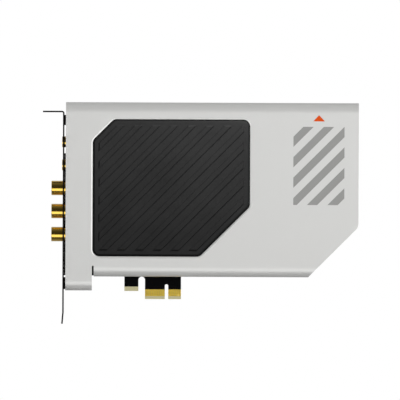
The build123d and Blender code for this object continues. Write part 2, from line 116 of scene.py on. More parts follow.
card_middle = (cad_low + cad_high) / 2
camera_data = bpy.data.cameras.new("camera")
camera_data.type = "ORTHO"
camera_data.ortho_scale = picture_span
camera = bpy.data.objects.new("camera", camera_data)
camera.location = (card_middle.x - card_left_of_middle, -camera_distance, card_middle.z + card_below_middle)
camera.rotation_euler = (math.radians(90), camera_roll, 0)
bpy.context.scene.collection.objects.link(camera)
bpy.context.scene.camera = camera
bpy.context.scene.view_settings.view_transform = "Standard"
print("camera looks along +Y at a span of", picture_span / MM, "mm")

# %% [markdown]
# Colours as a painter names them
#
# Shaders work in linear light, but a colour read off a screen is in sRGB. One small function turns the
# one into the other, so that each finish below can be written as the eye sees it.

# %% Turn screen colours into linear light
def tone(red, green, blue):
    """Linear colour, with alpha, of an sRGB colour given from 0 to 255."""
    def linear(value):
        share = value / 255
        return share / 12.92 if share <= 0.04045 else ((share + 0.055) / 1.055) ** 2.4
    return (linear(red), linear(green), linear(blue), 1.0)


white = tone(255, 255, 255)
black = tone(0, 0, 0)
print("mid grey 128 is", round(tone(128, 128, 128)[0], 3), "in linear light")

# %% [markdown]
# Node helpers
#
# Every finish here is a small tree of shader nodes, and a few short functions keep the trees readable.
# Three build: they add a node and set its sockets, calculate, and mix two colours by a mask. The others
# make masks out of what a surface knows about itself, which is where it lies and which way it faces.

# %% Add, calculate and mix
def add_node(tree, kind, **sockets):
    """A new node with values set on the named sockets; an underscore stands for a space."""
    made = tree.nodes.new(kind)
    for name, value in sockets.items():
        made.inputs[name.replace("_", " ")].default_value = value
    return made


def math_node(tree, operation, first, second=None):
    """A Math node on two inputs, each a number or the output of another node."""
    made = tree.nodes.new("ShaderNodeMath")
    made.operation = operation
    for socket, value in zip(made.inputs, (first, second)):
        if isinstance(value, (int, float)):
            socket.default_value = value
        elif value is not None:
            tree.links.new(value, socket)
    return made.outputs[0]


def mix_colours(tree, mask, first, second):
    """The first colour where the mask is 0 and the second where it is 1."""
    made = tree.nodes.new("ShaderNodeMix")
    made.data_type = "RGBA"
    tree.links.new(mask, made.inputs[0])
    for socket, value in ((made.inputs[6], first), (made.inputs[7], second)):
        if isinstance(value, tuple):
            socket.default_value = value
        else:
            tree.links.new(value, socket)
    return made.outputs[2]


print("builders: add_node, math_node, mix_colours")

# %% Make masks
def soft_step(tree, value, start, end):
    """0 before start, 1 after end; start may be the larger one."""
    made = add_node(tree, "ShaderNodeMapRange", From_Min=start, From_Max=end)
    made.interpolation_type = "SMOOTHSTEP"
    tree.links.new(value, made.inputs["Value"])
    return made.outputs[0]


def between(tree, value, low, high, blur):
    """1 from low to high and 0 elsewhere, with soft borders outside."""
    above = soft_step(tree, value, low - blur, low)
    below = soft_step(tree, value, high + blur, high)
    return math_node(tree, "MULTIPLY", above, below)


def split(tree, vector):
    """The X, Y and Z of a vector."""
    made = tree.nodes.new("ShaderNodeSeparateXYZ")
    tree.links.new(vector, made.inputs[0])
    return made.outputs


def face_direction(tree):
    """The face's normal, split into X, Y and Z."""
    return split(tree, tree.nodes.new("ShaderNodeNewGeometry").outputs["Normal"])


def surface_place(tree):
    """The place on the card in metres, split into X, Y and Z."""
    return split(tree, tree.nodes.new("ShaderNodeTexCoord").outputs["Object"])


print("mask makers: soft_step and between, fed by face_direction or surface_place")

# %% [markdown]
# Shared effect: grain and clouds
#
# No real surface is one even colour. Paint, moulded plastic and plating all have a fine grain, and slow
# clouds of tone and gloss. Each material could hold its own noises. The same pair serves them all, so it
# is one node group, and each material sets its own values.

# %% Build the grain and clouds group
def build_grain_group():
    """Two noises that shift a colour and a roughness, and the finer one's height."""
    group = bpy.data.node_groups.new("grain_and_clouds", "ShaderNodeTree")
    for name in ("Tone Shift", "Roughness", "Roughness Shift", "Grains", "Clouds"):
        group.interface.new_socket(name, in_out="INPUT", socket_type="NodeSocketFloat")
    group.interface.new_socket("Colour", in_out="INPUT", socket_type="NodeSocketColor")
    group.interface.new_socket("Stretch", in_out="INPUT", socket_type="NodeSocketVector")
    group.interface.new_socket("Colour", in_out="OUTPUT", socket_type="NodeSocketColor")
    for name in ("Roughness", "Height"):
        group.interface.new_socket(name, in_out="OUTPUT", socket_type="NodeSocketFloat")
    taken = group.nodes.new("NodeGroupInput").outputs
    given = group.nodes.new("NodeGroupOutput").inputs
    place = group.nodes.new("ShaderNodeTexCoord").outputs["Object"]
    stretched = group.nodes.new("ShaderNodeVectorMath")
    stretched.operation = "MULTIPLY"
    group.links.new(place, stretched.inputs[0])
    group.links.new(taken["Stretch"], stretched.inputs[1])
    grain = add_node(group, "ShaderNodeTexNoise", Detail=3.0)
    clouds = add_node(group, "ShaderNodeTexNoise", Detail=4.0)
    group.links.new(stretched.outputs[0], grain.inputs["Vector"])
    group.links.new(place, clouds.inputs["Vector"])
    group.links.new(taken["Grains"], grain.inputs["Scale"])
    group.links.new(taken["Clouds"], clouds.inputs["Scale"])
    waver = math_node(group, "SUBTRACT", math_node(group, "ADD", grain.outputs[0], clouds.outputs[0]), 1.0)
    brighter = math_node(group, "ADD", math_node(group, "MULTIPLY", waver, taken["Tone Shift"]), 1.0)
    tinted = group.nodes.new("ShaderNodeVectorMath")
    tinted.operation = "SCALE"
    group.links.new(taken["Colour"], tinted.inputs[0])
    group.links.new(brighter, tinted.inputs["Scale"])
    rougher = math_node(group, "MULTIPLY", waver, taken["Roughness Shift"])
    group.links.new(tinted.outputs[0], given["Colour"])
    group.links.new(math_node(group, "ADD", rougher, taken["Roughness"]), given["Roughness"])
    group.links.new(grain.outputs[0], given["Height"])
    return group


grain_group = build_grain_group()
print("group", grain_group.name, "has", len(grain_group.nodes), "nodes")

# %% [markdown]
# A finish
#
# A finish is a Principled shader fed by that group. Paint, plastic and metal differ in colour, gloss,
# grain size and how deep the grain is. Metal is brushed or drawn by stretching the grain along one axis.
# Most finishes need nothing more; the few that do are opened again and get masks of their own.

# %% Make finishes
def opened(material):
    """A finish's tree, its shader and its grain, for finishes that add more."""
    found = {part.type: part for part in material.node_tree.nodes}
    return material.node_tree, found["BSDF_PRINCIPLED"], found["GROUP"]


def finish(name, colour, roughness, metal=0.0, gloss=0.5, tone_shift=0.08, roughness_shift=0.12,
           grains=2500.0, clouds=70.0, grain_depth=0.01 * MM, stretch=(1, 1, 1)):
    """A material with grain."""
    material = bpy.data.materials.new(name)
    material.use_nodes = True
    material.node_tree.nodes.new("ShaderNodeGroup").node_tree = grain_group
    tree, shader, grain = opened(material)
    for socket, value in (("Colour", colour), ("Tone Shift", tone_shift), ("Roughness", roughness),
                          ("Roughness Shift", roughness_shift), ("Grains", grains), ("Clouds", clouds),
                          ("Stretch", stretch)):
        grain.inputs[socket].default_value = value
    bump = add_node(tree, "ShaderNodeBump", Strength=1.0, Distance=grain_depth)
    tree.links.new(grain.outputs["Height"], bump.inputs["Height"])
    tree.links.new(grain.outputs["Colour"], shader.inputs["Base Color"])
    tree.links.new(grain.outputs["Roughness"], shader.inputs["Roughness"])
    tree.links.new(bump.outputs["Normal"], shader.inputs["Normal"])
    shader.inputs["Metallic"].default_value = metal
    shader.inputs["Specular IOR Level"].default_value = gloss
    return material


print("every finish uses the group", grain_group.name)

# %% [markdown]
# Finishes on solids
#
# Pieces of one kind share a finish: all chips, all film capacitors, all jack housings. Each could be
# named in a list. Here the start of a name is enough, so that a solid added to a family later takes the
# family's finish by itself. A set keeps count of what has been dressed.

# %% Put finishes on solids
dressed = set()


def named(*starts):
    """Nodes whose names start with one of the words."""
    return sorted(name for name in nodes if name.startswith(starts))


def dress(material, *starts):
    """Give a finish to the CAD nodes whose names start with one of the words."""
    for name in named(*starts):
        nodes[name].data.materials[0] = material
        dressed.add(name)
    print(material.name, "on", ", ".join(named(*starts)))


print("sockets to dress:", len(named("rca", "minijack")), "nodes")

# %% [markdown]
# Floor
#
# The photograph's background is pure white. A floor lit until it looks white would throw that light back
# on the card. So the floor is pale grey paint, and a lift that only the camera sees takes it to white
# further out. The card's shadow stays on it, and polished metal doesn't mirror it.

# %% Lay the floor
floor_gap = 0.5 * MM
floor_reach = 1.5
near_lift = 0.52
far_lift = 1.0
fade_from = 0.12
fade_to = 0.4
square = ((-1, -1), (1, -1), (1, 1), (-1, 1))

floor_paint = finish("floor_paint", tone(204, 204, 204), 0.7, tone_shift=0.02, grains=400.0, clouds=4.0)
tree, shader, _ = opened(floor_paint)
distance = tree.nodes.new("ShaderNodeVectorMath")
distance.operation = "LENGTH"
tree.links.new(tree.nodes.new("ShaderNodeTexCoord").outputs["Object"], distance.inputs[0])
faded = soft_step(tree, distance.outputs["Value"], fade_from, fade_to)
lift = math_node(tree, "ADD", math_node(tree, "MULTIPLY", faded, far_lift - near_lift), near_lift)
seen_directly = tree.nodes.new("ShaderNodeLightPath").outputs["Is Camera Ray"]
shader.inputs["Emission Color"].default_value = white
tree.links.new(math_node(tree, "MULTIPLY", seen_directly, lift), shader.inputs["Emission Strength"])

floor_height = cad_low.z - floor_gap
floor_mesh = bpy.data.meshes.new("floor")
floor_corners = [(x * floor_reach, y * floor_reach, floor_height) for x, y in square]
floor_mesh.from_pydata(floor_corners, [], [(0, 1, 2, 3)])
floor_mesh.materials.append(floor_paint)
floor = bpy.data.objects.new("floor", floor_mesh)
bpy.context.scene.collection.objects.link(floor)
floor.visible_glossy = False
print("floor lies at", round(floor_height / MM, 2), "mm")

# %% [markdown]
# World
#
# Polished metal shows what stands round it: here a pale backdrop behind the card, a dark room above the
# camera, a bright wall on the right, and one long bright panel low in front, which draws the narrow light
# band along a gold barrel. Real screens and lamps could stand there, but each would also light the cover.
# A ramp over the angle does it better, because only mirrored rays are shown it. The camera sees plain
# white, and the light that falls on the card stays at a plain level.

# %% Paint the room that metal mirrors
low_panel_level = 1.75
side_wall_level = 1.6
side_wall_from = 0.5
side_wall_full = 0.65
# Brightness by angle: 0 degrees is toward the camera, positive is up, and 180 is straight behind the card
studio_tones = {-180: 0.7, -125: 0.33, -95: 0.21, -72: 0.09, -52: 0.06, -44: low_panel_level,
                -15: low_panel_level, -6: 0.05, 20: 0.04, 35: 0.05, 55: 0.09, 75: 0.18, 95: 0.23,
                125: 0.45, 180: 0.7}

world = bpy.data.worlds.new("studio")
bpy.context.scene.world = world
world.use_nodes = True
sky = world.node_tree
sky.nodes.clear()
heading = split(sky, sky.nodes.new("ShaderNodeTexCoord").outputs["Generated"])
toward_camera = math_node(sky, "MULTIPLY", heading["Y"], -1.0)
climb = math_node(sky, "ARCTAN2", heading["Z"], toward_camera)
ramp = sky.nodes.new("ShaderNodeValToRGB")
sky.links.new(math_node(sky, "ADD", math_node(sky, "DIVIDE", climb, math.tau), 0.5), ramp.inputs["Fac"])
stops = ramp.color_ramp.elements
while len(stops) < len(studio_tones):
    stops.new(0.5)
for stop, (angle, level) in zip(stops, sorted(studio_tones.items())):
    stop.position = angle / 360 + 0.5
    stop.color = (level, level, level, 1.0)
beside = soft_step(sky, heading["X"], side_wall_from, side_wall_full)
wall_grey = (side_wall_level, side_wall_level, side_wall_level, 1.0)
room = mix_colours(sky, beside, ramp.outputs["Color"], wall_grey)
print("the room has", len(studio_tones), "tones from below to above")

# %% Choose what each ray sees
ambient_level = 0.45

path = sky.nodes.new("ShaderNodeLightPath").outputs
seen = add_node(sky, "ShaderNodeBackground", Strength=1.0)
sky.links.new(mix_colours(sky, path["Is Camera Ray"], room, white), seen.inputs["Color"])
light = add_node(sky, "ShaderNodeBackground", Color=white, Strength=ambient_level)
mirrored = math_node(sky, "MAXIMUM", path["Is Glossy Ray"], path["Is Transmission Ray"])
looked_at = math_node(sky, "MAXIMUM", mirrored, path["Is Camera Ray"])
chosen = sky.nodes.new("ShaderNodeMixShader")
sky.links.new(looked_at, chosen.inputs[0])
sky.links.new(light.outputs[0], chosen.inputs[1])
sky.links.new(seen.outputs[0], chosen.inputs[2])
sky.links.new(chosen.outputs[0], sky.nodes.new("ShaderNodeOutputWorld").inputs["Surface"])
print("ambient light is", ambient_level)

# %% [markdown]
# Lamps
#
# Wide soft lamps light the card's two sides, a little from one end, so that folds and ribs show. They
# stay out of reflections, because the world already paints what metal mirrors. A black panel in that
# light would be an even patch. A small lamp above it, linked to the panel alone, brings out the ribs and
# lights nothing else.

# %% Hang the lamps
wide_lamp = (0.9, 0.4)
small_lamp = (0.1, 0.1)
front_lamp_place = (0.22, -0.85, 0.1)
front_lamp_power = 7.0
back_lamp_place = (-0.3, 0.85, 0.12)
back_lamp_power = 5.0
panel_lamp_place = (0.09, -0.13, 0.22)
panel_lamp_power = 2.4


def soft_lamp(name, place, aim, size, power):
    """An area lamp at a place, turned to face a point."""
    data = bpy.data.lights.new(name, "AREA")
    data.shape = "RECTANGLE"
    data.size, data.size_y = size
    data.energy = power
    lamp = bpy.data.objects.new(name, data)
    lamp.location = place
    lamp.rotation_euler = (aim - Vector(place)).to_track_quat("-Z", "Y").to_euler()
    bpy.context.scene.collection.objects.link(lamp)
    print(name, "at", [round(step, 2) for step in place], "gives", power, "W")
    return lamp


front_lamp = soft_lamp("front_lamp", front_lamp_place, card_middle, wide_lamp, front_lamp_power)
back_lamp = soft_lamp("back_lamp", back_lamp_place, card_middle, wide_lamp, back_lamp_power)
front_lamp.visible_glossy = False
back_lamp.visible_glossy = False
panel_lamp = soft_lamp("panel_lamp", panel_lamp_place, middle_of("rib_panel"), small_lamp, panel_lamp_power)
only_panel = bpy.data.collections.new("lit_by_panel_lamp")
only_panel.objects.link(nodes["rib_panel"])
panel_lamp.light_linking.receiver_collection = only_panel

# %% [markdown]
# Cover paint
#
# The cover is folded steel in a pale grey paint with fine metal flakes. Its window was milled after
# painting, so the bevel round the window is bare bright metal. A separate ring could stand for that
# bevel, but the solid already has it as its own faces: they are the only ones near the window whose
# normal leans off the front, so a mask picks them out.

# %% Paint the cover
flake_metal = 0.3
edge_metal = 0.5
bare_steel = tone(232, 232, 230)
# A normal's Y is -1 on the front and 0 on the sides, so a bevel lies between
bevel_from, bevel_to = -0.95, -0.35
cover_paint = finish("cover_paint", tone(212, 212, 210), 0.42, tone_shift=0.012, roughness_shift=0.06,
                     grains=2200.0, clouds=25.0, grain_depth=0.008 * MM)
tree, shader, grain = opened(cover_paint)
leaning = between(tree, face_direction(tree)["Y"], bevel_from, bevel_to, blur=0.03)
near_window = between(tree, surface_place(tree)["Z"], panel_low.z, panel_high.z, blur=MM)
bare_edge = math_node(tree, "MULTIPLY", leaning, near_window)
painted = mix_colours(tree, bare_edge, grain.outputs["Colour"], bare_steel)
tree.links.new(painted, shader.inputs["Base Color"])
more_metal = math_node(tree, "MULTIPLY", bare_edge, edge_metal - flake_metal)
tree.links.new(math_node(tree, "ADD", more_metal, flake_metal), shader.inputs["Metallic"])
dress(cover_paint, "cover_shroud")

# %% [markdown]
# From a shape to a piece
#
# Some layers are too thin for the solids: ink, copper, plating, a welded lid. They are built as meshes,
# mostly from an outline that is given a thickness. Stretched primitives would do for a few of them, but
# an outline keeps the real sizes in plain sight. Each finished piece rides on the card's one body, takes
# a material slot, and names the CAD node that it stands for where there is one.

# %% Helpers that make pieces
crease_angle = 32


def make_piece(name, shape, material, slot, *stands_for):
    """Turn a bmesh into a piece of the card, smooth except at edges sharper than the crease angle."""
    bmesh.ops.recalc_face_normals(shape, faces=shape.faces)
    mesh = bpy.data.meshes.new(name)
    shape.to_mesh(mesh)
    shape.free()
    mesh.shade_smooth()
    mesh.set_sharp_from_angle(angle=math.radians(crease_angle))
    mesh.materials.append(material)
    piece = bpy.data.objects.new(name, mesh)
    bpy.context.scene.collection.objects.link(piece)
    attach(piece, "root")
    if stands_for:
        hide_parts(*stands_for)
        dressed.update(stands_for)
    print(name, "has", len(mesh.polygons), "faces")


def bridge(shape, first, second):
    """Faces between two rings of as many points."""
    for corners in zip(first, first[1:] + first[:1], second[1:] + second[:1], second):
        shape.faces.new(corners)


def prism(shape, outline, sweep):
    """A solid between an outline of points and a copy of it moved by the sweep."""
    near = [shape.verts.new(point) for point in outline]
    far = [shape.verts.new(Vector(point) + Vector(sweep)) for point in outline]
    shape.faces.new(near)
    shape.faces.new(far)
    bridge(shape, near, far)


print("edges sharper than", crease_angle, "degrees stay sharp")

# %% [markdown]
# Print on the cover
#
# A field of slanting grey stripes and a small orange arrow head are screen printed near the right end. A
# mask in the paint could draw them, but ink is a real layer with crisp edges, so each stripe is a thin
# solid: a rectangle that two slanted planes slice to a band, then given the thickness of ink.

# %% Print the stripes
ink_thickness = 0.03 * MM
field_width = 28.76 * MM
field_height = 44.05 * MM
field_from_right = 8.04 * MM
field_from_top = 13.39 * MM
stripe_count = 6
stripe_pitch = 11.55 * MM
stripe_width = 5.8 * MM
first_stripe = 5.53 * MM

field_right = cover_high.x - field_from_right
field_left = field_right - field_width
field_top = cover_high.z - field_from_top
field_low = field_top - field_height
slant = Vector((1, 0, -1)).normalized()
field = [(field_left, field_low), (field_right, field_low),
         (field_right, field_top), (field_left, field_top)]
ink_grey = finish("ink_grey", tone(143, 143, 141), 0.55, tone_shift=0.02, grains=3000.0)
for stripe in range(stripe_count):
    shape = bmesh.new()
    shape.faces.new([shape.verts.new((x, cover_face, z)) for x, z in field])
    start = field_left + first_stripe + stripe * stripe_pitch
    for x, outside in ((start, {"clear_inner": True}), (start + stripe_width, {"clear_outer": True})):
        parts = shape.verts[:] + shape.edges[:] + shape.faces[:]
        spot = (x, cover_face, field_top)
        bmesh.ops.bisect_plane(shape, geom=parts, plane_co=spot, plane_no=slant, **outside)
    grown = bmesh.ops.extrude_face_region(shape, geom=shape.faces[:])["geom"]
    raised = [part for part in grown if isinstance(part, bmesh.types.BMVert)]
    bmesh.ops.translate(shape, verts=raised, vec=(0, -ink_thickness, 0))
    make_piece(f"cover_print_stripe_{stripe + 1}", shape, ink_grey, "cover_paint")

# %% Print the arrow head
arrow_gap = 3.1 * MM
arrow_height = 3.5 * MM
arrow_width = 6.67 * MM

arrow_middle = (field_left + field_right) / 2
arrow_low = field_top + arrow_gap
ink_orange = finish("ink_orange", tone(208, 76, 16), 0.5, gloss=0.15, tone_shift=0.02, grains=3000.0)
arrow = [(arrow_middle - arrow_width / 2, arrow_low), (arrow_middle + arrow_width / 2, arrow_low),
         (arrow_middle, arrow_low + arrow_height)]
shape = bmesh.new()
prism(shape, [(x, cover_face, z) for x, z in arrow], (0, -ink_thickness, 0))
make_piece("cover_print_arrow", shape, ink_orange, "cover_paint")

# %% [markdown]
# Black pieces
#
# The ribbed panel is moulded plastic with a spark-eroded texture, duller than the bracket's thin black
# paint. The panel's sloping rim and the flanks of its ribs are darkened in their colour: painted shade,
# standing in for the shade that falls on them. The jack housings and the header are moulded too, but plain.
# Black still reflects, so what tells these blacks apart is their gloss and grain more than their colour.

# %% Finish the panel
rib_height = 0.5 * MM
rim_blur = 0.03 * MM
# Painted shade: the rim's colour is pulled halfway to black and the rib flanks' colour a tenth of the way
rim_shade = 0.5
flank_shade = 0.1
flank_from, flank_to = -0.9, -0.8
panel_plastic = finish("panel_plastic", tone(17, 17, 17), 0.62, gloss=0.05, tone_shift=0.8,
                       roughness_shift=0.15, grains=1300.0, clouds=40.0, grain_depth=0.045 * MM)
tree, shader, grain = opened(panel_plastic)
rib_foot = panel_low.y + rib_height
on_rim = soft_step(tree, surface_place(tree)["Y"], rib_foot, rib_foot + rim_blur)
on_flank = soft_step(tree, face_direction(tree)["Y"], flank_from, flank_to)
shade = math_node(tree, "MAXIMUM", math_node(tree, "MULTIPLY", on_rim, rim_shade),
                  math_node(tree, "MULTIPLY", on_flank, flank_shade))
shaded = mix_colours(tree, shade, grain.outputs["Colour"], black)
tree.links.new(shaded, shader.inputs["Base Color"])
dress(panel_plastic, "rib_panel")

# %% Finish the bracket and the housings
# Painted light and shade: the bracket's two broad sides get a lighter black than its thin edges, chosen by
# which way each face points
side_painted_lighter = tone(30, 29, 28)
side_from, side_to = 0.6, 0.9
bracket_paint = finish("bracket_paint", tone(6, 5, 4), 0.5, gloss=0.1, tone_shift=0.1, grains=2600.0,
                       clouds=50.0, grain_depth=0.008 * MM)
tree, shader, grain = opened(bracket_paint)
sideways = math_node(tree, "ABSOLUTE", face_direction(tree)["X"])
on_side = soft_step(tree, sideways, side_from, side_to)
tree.links.new(mix_colours(tree, on_side, grain.outputs["Colour"], side_painted_lighter), shader.inputs["Base Color"])
dress(bracket_paint, "slot_bracket")
housing_plastic = finish("housing_plastic", tone(12, 11, 10), 0.5, gloss=0.1, grains=3000.0,
                         grain_depth=0.015 * MM)
dress(housing_plastic, "header_base", "minijack_body", "rca_housing")

# %% [markdown]
# Circuit board
#
# The board is glass cloth in resin, with copper and black solder mask on both faces. Cut edges and the
# milled bevel of the tongue show the tan laminate, and the mask stops above the contacts, so laminate
# also shows between them. The faces could get a material each. One for the whole board keeps the solid as
# it is: masks made from the face's direction and place choose between solder mask and laminate.

# %% Finish the board
laminate = tone(190, 183, 146)
tongue_laminate = tone(232, 202, 100)
cut_edge = tone(46, 42, 32)
mask_on_back = tone(15, 16, 17)
mask_blur = 0.1 * MM
tongue_margin = 1.0 * MM
board_mask = finish("board_mask", tone(4, 4, 5), 0.5, gloss=0.04, tone_shift=0.12, grains=1800.0,
                    clouds=120.0, grain_depth=0.006 * MM)
tree, shader, grain = opened(board_mask)
facing = face_direction(tree)
place = surface_place(tree)
# Flatness is 1 on the two faces, 0 on the cut edges and in between on the tongue's bevel, which looks down
flatness = math_node(tree, "ABSOLUTE", facing["Y"])
edge_on = soft_step(tree, flatness, 0.95, 0.9)
bevel = math_node(tree, "MULTIPLY", soft_step(tree, flatness, 0.2, 0.4),
                  soft_step(tree, facing["Z"], -0.05, -0.1))
below_mask = soft_step(tree, place["Z"], contacts_high.z + mask_blur, contacts_high.z)
on_tongue = between(tree, place["X"], contacts_low.x - tongue_margin, contacts_high.x + tongue_margin,
                    blur=tongue_margin)
bare = math_node(tree, "MULTIPLY", below_mask, on_tongue)
on_back = soft_step(tree, facing["Y"], 0.5, 0.9)
masked = mix_colours(tree, on_back, grain.outputs["Colour"], mask_on_back)
covered = mix_colours(tree, bare, masked, tongue_laminate)
edged = mix_colours(tree, edge_on, covered, cut_edge)
tree.links.new(mix_colours(tree, bevel, edged, laminate), shader.inputs["Base Color"])
dress(board_mask, "circuit_board")

# %% [markdown]
# Bead along the board's edge
#
# Beside the sockets the board's left edge stands a tenth of a millimetre off the bracket. No light shows
# through there on the real card, so a thin black bead closes the line. A wider board would close it too,
# but its width is a real size. The bead is a flat arc swept along the edge, and where the edge starts and
# ends is read from the board's own mesh.

# %% Run the bead
bead_width = 0.09 * MM
bead_half = (board_back - board_front) / 2
edge_corners = [corner.co for corner in nodes["circuit_board"].data.vertices]
edge_heights = [corner.z for corner in edge_corners if corner.x < board_low.x + bead_width]
bead_low = min(edge_heights)
bead_section = []
for turn in range(0, 181, 20):
    angle = math.radians(turn)
    bead_section.append((board_low.x - bead_width * math.sin(angle), -bead_half * math.cos(angle), bead_low))
shape = bmesh.new()
prism(shape, bead_section, (0, 0, max(edge_heights) - bead_low))
make_piece("board_edge_bead", shape, housing_plastic, "housing_plastic")

# %% [markdown]
# Gold
#
# The contacts and sockets are gold over nickel. The contacts are rolled flat and slightly dull. The
# sockets are turned and polished under a clear coat, and carry faint rings from the lathe. Fine grooves
# could be cut in the mesh, but stretching the grain so that it only changes along the axis gives the same
# glint.

# %% Finish the gold pieces
contact_gold = finish("contact_gold", tone(252, 219, 86), 0.35, metal=1.0, grains=900.0,
                      grain_depth=0.003 * MM, stretch=(4, 1, 0.4))
dress(contact_gold, "contacts_front", "contacts_back")
port_gold = finish("port_gold", tone(226, 186, 68), 0.16, metal=1.0, tone_shift=0.06, roughness_shift=0.08,
                   grains=700.0, grain_depth=0.002 * MM, stretch=(6, 0.2, 0.2))
_, shader, _ = opened(port_gold)
shader.inputs["Coat Weight"].default_value = 1.0
shader.inputs["Coat Roughness"].default_value = 0.08
dress(port_gold, "rca_contact")

# %% [markdown]
# Turned sockets
#
# A phono socket is a turned sleeve with a rolled lip, and an insulating core with a hole for the plug's
# pin. A jack shows only a short ring. The solids have the right sizes with plain edges. Bevelling them
# would do, but the real ones come off a lathe, so an outline of distances and radii is spun about the
# axis here too, with round lips, because a lip is what catches the light.

# %% Helpers that turn on a lathe
def spin(shape, outline, base, direction, steps, loop=False):
    """Spin (distance along the axis, radius) points about an axis; a loop closes the last to the first."""
    along = Vector(direction).normalized()
    side = along.orthogonal().normalized()
    across = along.cross(side)
    turns = [math.tau * step / steps for step in range(steps)]
    rings = []
    for distance, radius in outline:
        centre = Vector(base) + along * distance
        spread = [centre + (side * math.cos(turn) + across * math.sin(turn)) * radius for turn in turns]
        rings.append([shape.verts.new(point) for point in (spread if radius > 0 else [centre])])
    for first, second in list(zip(rings, rings[1:])) + ([(rings[-1], rings[0])] if loop else []):
        for step in range(steps):
            after = (step + 1) % steps
            corners = [first[step % len(first)], first[after % len(first)],
                       second[after % len(second)], second[step % len(second)]]
            shape.faces.new(list(dict.fromkeys(corners)))
    return rings


def arc(middle, radius, start, end, points=5):
    """Points of a round corner in an outline, with angles in degrees."""
    angles = [math.radians(start + (end - start) * step / (points - 1)) for step in range(points)]
    return [(middle[0] + radius * math.cos(angle), middle[1] + radius * math.sin(angle)) for angle in angles]


def turn_piece(name, node, outline, base, direction, material, slot, steps=48, loop=True):
    """A turned piece that stands for a node."""
    shape = bmesh.new()
    spin(shape, outline, base, direction, steps, loop)
    make_piece(name, shape, material, slot, node)


print("a quarter round has", len(arc((0, 0), MM, 0, 90)), "points")

# %% Turn the sleeves
out_of_bracket = (-1, 0, 0)
lip_round = 0.35 * MM
for level in ("upper", "middle", "lower"):
    shell = f"rca_shell_{level}"
    low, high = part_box(shell)
    core_low, core_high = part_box(f"rca_insulator_{level}")
    barrel = mounts[f"rca_barrel_{level}"]
    middle = Vector(barrel["pos_m"])
    radius = barrel["dims"]["r_mm"] * MM
    reach = high.x - low.x
    shoulder_at = reach - barrel["dims"]["length_mm"] * MM
    shoulder = (high.z - low.z) / 2
    bore = (core_high.z - core_low.z) / 2
    outline = [(0, bore), (0, shoulder), (shoulder_at, shoulder), (shoulder_at, radius)]
    outline += arc((reach - lip_round, radius - lip_round), lip_round, 90, 0)
    outline += arc((reach - lip_round / 2, bore + lip_round / 2), lip_round / 2, 0, -90)
    turn_piece(f"rca_sleeve_{level}", shell, outline, (high.x, middle.y, middle.z), out_of_bracket,
               port_gold, "port_gold", steps=72)

# %% Turn the insulating cores
core_colours = {"upper": ("insulator_white", tone(226, 224, 216)),
                "middle": ("insulator_red", tone(176, 30, 28)),
                "lower": ("insulator_black", tone(30, 30, 32))}
mouth_flare = 0.5 * MM
core_round = 0.3 * MM
for level, (slot, colour) in core_colours.items():
    insulator = f"rca_insulator_{level}"
    low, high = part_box(insulator)
    contact_low, contact_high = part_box(f"rca_contact_{level}")
    middle = (low + high) / 2
    outer = (high.z - low.z) / 2
    pocket = (contact_high.z - contact_low.z) / 2
    reach = high.x - low.x
    step_at = high.x - contact_low.x
    outline = [(0, pocket), (0, outer)] + arc((reach - core_round, outer - core_round), core_round, 90, 0)
    outline += [(reach, pocket + mouth_flare), (reach - mouth_flare, pocket), (step_at, pocket)]
    turn_piece(f"rca_core_{level}", insulator, outline, (high.x, middle.y, middle.z), out_of_bracket,
               finish(slot, colour, 0.35), slot)

# %% Turn the jack rings
ring_round = 0.3 * MM
jack_mouth = 2.4 * MM
for level in ("upper", "lower"):
    barrel = f"minijack_barrel_{level}"
    low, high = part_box(barrel)
    middle = (low + high) / 2
    outer = (high.z - low.z) / 2
    reach = high.x - low.x
    outline = [(0, jack_mouth), (0, outer)]
    outline += arc((reach - ring_round, outer - ring_round), ring_round, 90, 0)
    outline += arc((reach - ring_round, jack_mouth + ring_round), ring_round, 0, -90)
    turn_piece(f"minijack_ring_{level}", barrel, outline, (high.x, middle.y, middle.z), out_of_bracket,
               port_gold, "port_gold")

# %% [markdown]
# Everything else in its own finish
#
# Behind the cover sit moulded chips, red film capacitors, aluminium cans and tinned tails. They show
# through the open right end and from behind. One grey for all would pass in the photograph's view, but
# the card is seen from all sides, so each gets its own finish.

# %% Finish the inner pieces
chip_epoxy = finish("chip_epoxy", tone(34, 34, 36), 0.6, grains=4000.0, grain_depth=0.015 * MM)
dress(chip_epoxy, "audio_processor", "converter_chip", "op_amp", "regulator")
ferrite = finish("ferrite", tone(62, 62, 64), 0.7, tone_shift=0.25, grains=5000.0, grain_depth=0.03 * MM)
dress(ferrite, "inductor")
dress(finish("relay_plastic", tone(214, 208, 190), 0.5), "mute_relay")
dress(finish("film_red", tone(168, 30, 24), 0.32, tone_shift=0.15, clouds=200.0), "film_capacitor")
dress(finish("resistor_black", tone(26, 26, 28), 0.3), "chip_resistors")
dress(finish("ceramic_tan", tone(150, 112, 74), 0.4, tone_shift=0.15), "chip_capacitors")
dress(finish("tape_film", tone(222, 218, 204), 0.5), "panel_tape")
base_plastic = finish("base_plastic", tone(30, 30, 31), 0.5)
dress(base_plastic, "capacitor_base")

# %% Finish the inner metal
dress(finish("clock_metal", tone(186, 184, 176), 0.32, metal=1.0), "oscillator")
standoff_steel = finish("standoff_steel", tone(178, 176, 172), 0.35, metal=1.0, stretch=(0.3, 5, 0.3))
dress(standoff_steel, "cover_standoffs")
tail_tin = finish("tail_tin", tone(190, 190, 188), 0.3, metal=1.0)
dress(tail_tin, "minijack_tails", "rca_tails")

# %% [markdown]
# Screws
#
# Six screws hold the board: two pull it to the bracket's ears and four to the cover's standoffs. Their
# solids have plain heads. On the real ones a punch has pressed a cross into a domed head, and that cross
# is what tells the eye it is a screw. A boolean could cut it. Here the head is turned with an open top,
# and the top is filled round a twelve point cross, which leaves a clean mesh.

# %% Find the separate solids of a node
weld_distance = 0.001 * MM


